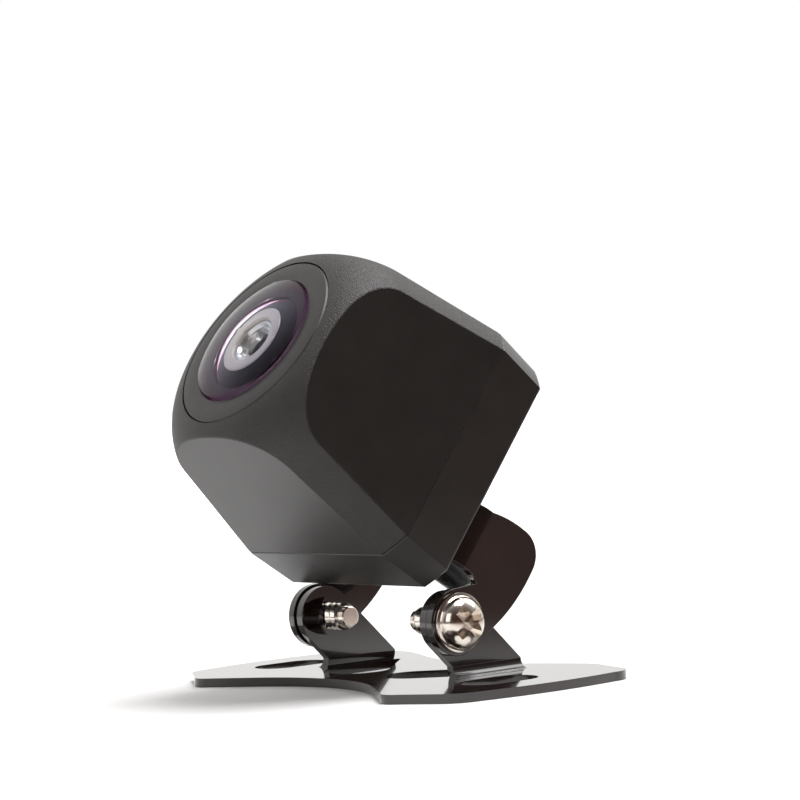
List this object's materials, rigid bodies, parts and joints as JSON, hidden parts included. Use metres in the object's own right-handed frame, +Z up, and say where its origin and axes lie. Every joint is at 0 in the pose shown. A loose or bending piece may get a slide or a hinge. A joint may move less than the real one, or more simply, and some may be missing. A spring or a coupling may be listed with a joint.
{
  "type": "backup camera",
  "caption": "Small cube reversing camera with a domed fisheye lens, tilting on a folded sheet-metal yoke and butterfly base plate.",
  "frame": {"origin": "underside of the base plate, straight below the tilt axis, on the centre plane", "axes": "+X to the side along the tilt axis, +Y to the rear, +Z up away from the mounting surface; the lens faces -Y and up"},
  "size_m": [0.0408, 0.0303, 0.0376],
  "materials": {
    "housing": "fine spark-eroded grain on the rounded nose and corner strips, satin on the flats",
    "trim_plastic": "smooth satin",
    "coated_glass": "polished, blue-violet anti-reflection coat",
    "lens_glass": "polished, green-blue anti-reflection coat",
    "filter_glass": "polished",
    "black_anodised": "fine turned, black anodised",
    "pale_ring": "warm white, satin",
    "bright_metal": "fine turned steps",
    "bracket_paint": "gloss black stoved paint over steel sheet",
    "nickel": "nickel plated",
    "washer_steel": "blackened",
    "small_screw_steel": "blackened steel",
    "rubber": "moulded, satin",
    "holder_plastic": "moulded, matte",
    "board": "solder-masked glass-epoxy board",
    "chip": "moulded epoxy",
    "coil_ferrite": "pressed ferrite",
    "connector_plastic": "moulded, natural"
  },
  "bodies": {
    "base": {"base_bracket": "bracket_paint", "hinge_screws": "nickel", "hinge_washers": "washer_steel"},
    "head": {"front_shell": "housing", "back_cover": "housing", "cover_screws": "small_screw_steel", "cover_gasket": "rubber", "lens_trim_ring": "trim_plastic", "lens_dome": "coated_glass", "lens_barrel": "black_anodised", "lens_accent_ring": "pale_ring", "pupil_cone": "bright_metal", "pupil_lens": "lens_glass", "front_spacer": "black_anodised", "middle_lens": "lens_glass", "aperture_stop": "black_anodised", "rear_lens": "lens_glass", "lens_retainer": "black_anodised", "lens_seal": "rubber", "lens_holder": "holder_plastic", "ir_filter": "filter_glass", "holder_screws": "small_screw_steel", "sensor_board": "board", "image_sensor": "chip", "main_board": "board", "board_link": "connector_plastic", "image_processor": "chip", "power_coil": "coil_ferrite", "lead_connector": "connector_plastic", "cable_gland": "rubber", "yoke": "bracket_paint", "yoke_screws": "small_screw_steel"}
  },
  "joints": [
    {"name": "head_tilt", "type": "hinge", "parent": "base", "child": "head", "pos_m": [0, 0, 0.00552], "axis": [1, 0, 0], "range_deg": [-30, 46]}
  ]
}
